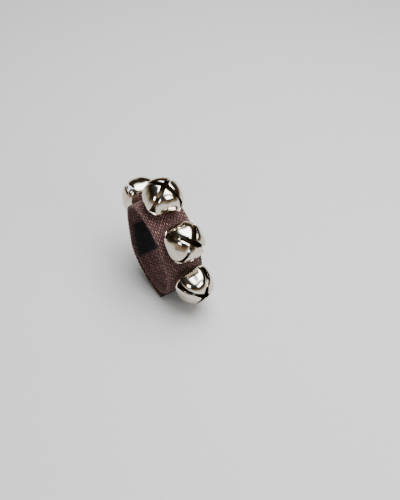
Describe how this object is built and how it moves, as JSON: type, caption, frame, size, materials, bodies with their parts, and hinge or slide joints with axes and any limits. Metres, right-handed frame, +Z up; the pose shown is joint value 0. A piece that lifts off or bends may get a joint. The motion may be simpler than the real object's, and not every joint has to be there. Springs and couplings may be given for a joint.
{
  "type": "wrist sleigh bells",
  "caption": "Percussion strap worn on the wrist: webbing band with riveted four-petal jingle bells, a loose pellet in each, and a hook-and-loop tab that opens",
  "frame": {"origin": "centre of the wrist opening", "axes": "+X along the wrist towards the hand, +Y away from the viewer, +Z up; the strap opens along X"},
  "size_m": [0.0263, 0.0799, 0.0736],
  "materials": {
    "webbing": "matte woven",
    "tape": "matte pile",
    "thread": "matte",
    "bell": "polished nickel plate",
    "rivet": "polished nickel plate",
    "pellet": "satin"
  },
  "bodies": {
    "strap": {"strap_webbing": "webbing", "loop_tape": "tape", "loop_stitching": "thread", "rivet_1": "rivet", "rivet_2": "rivet", "rivet_3": "rivet", "rivet_4": "rivet", "washer_1": "rivet", "washer_2": "rivet", "washer_3": "rivet", "washer_4": "rivet"},
    "tab": {"strap_tab": "webbing", "hook_tape": "tape", "hook_stitching": "thread"},
    "bell_1": {"bell_shell_1": "bell"},
    "pellet_1": {"pellet_1": "pellet"},
    "bell_2": {"bell_shell_2": "bell"},
    "pellet_2": {"pellet_2": "pellet"},
    "bell_3": {"bell_shell_3": "bell"},
    "pellet_3": {"pellet_3": "pellet"},
    "bell_4": {"bell_shell_4": "bell"},
    "pellet_4": {"pellet_4": "pellet"}
  },
  "joints": [
    {"name": "bell_1_spin", "type": "hinge", "parent": "strap", "child": "bell_1", "pos_m": [0.002, 0.02125, 0.01443], "axis": [0, 0.9932, 0.1166], "continuous": true},
    {"name": "pellet_1_bounce", "type": "slide", "parent": "strap", "child": "pellet_1", "axis": [0, 0, 1], "range_m": [0, 0.0133]},
    {"name": "bell_2_spin", "type": "hinge", "parent": "strap", "child": "bell_2", "pos_m": [0.0019, 0.00498, 0.02448], "axis": [0, -0.2648, 0.9643], "continuous": true},
    {"name": "pellet_2_bounce", "type": "slide", "parent": "strap", "child": "pellet_2", "axis": [0, 0, 1], "range_m": [0, 0.0088]},
    {"name": "bell_3_spin", "type": "hinge", "parent": "strap", "child": "bell_3", "pos_m": [0.0006, -0.01457, 0.01099], "axis": [0, -0.8077, 0.5896], "continuous": true},
    {"name": "pellet_3_bounce", "type": "slide", "parent": "strap", "child": "pellet_3", "axis": [0, 0, 1], "range_m": [0, 0.01175]},
    {"name": "bell_4_spin", "type": "hinge", "parent": "strap", "child": "bell_4", "pos_m": [0.001, -0.02146, -0.01173], "axis": [0, -0.9991, -0.0416], "continuous": true},
    {"name": "pellet_4_bounce", "type": "slide", "parent": "strap", "child": "pellet_4", "axis": [0, 0, 1], "range_m": [0, 0.01335]},
    {"name": "tab_open", "type": "hinge", "parent": "strap", "child": "tab", "pos_m": [0, 0.02134, 0.00697], "axis": [1, 0, 0], "range_deg": [0, 50]}
  ]
}
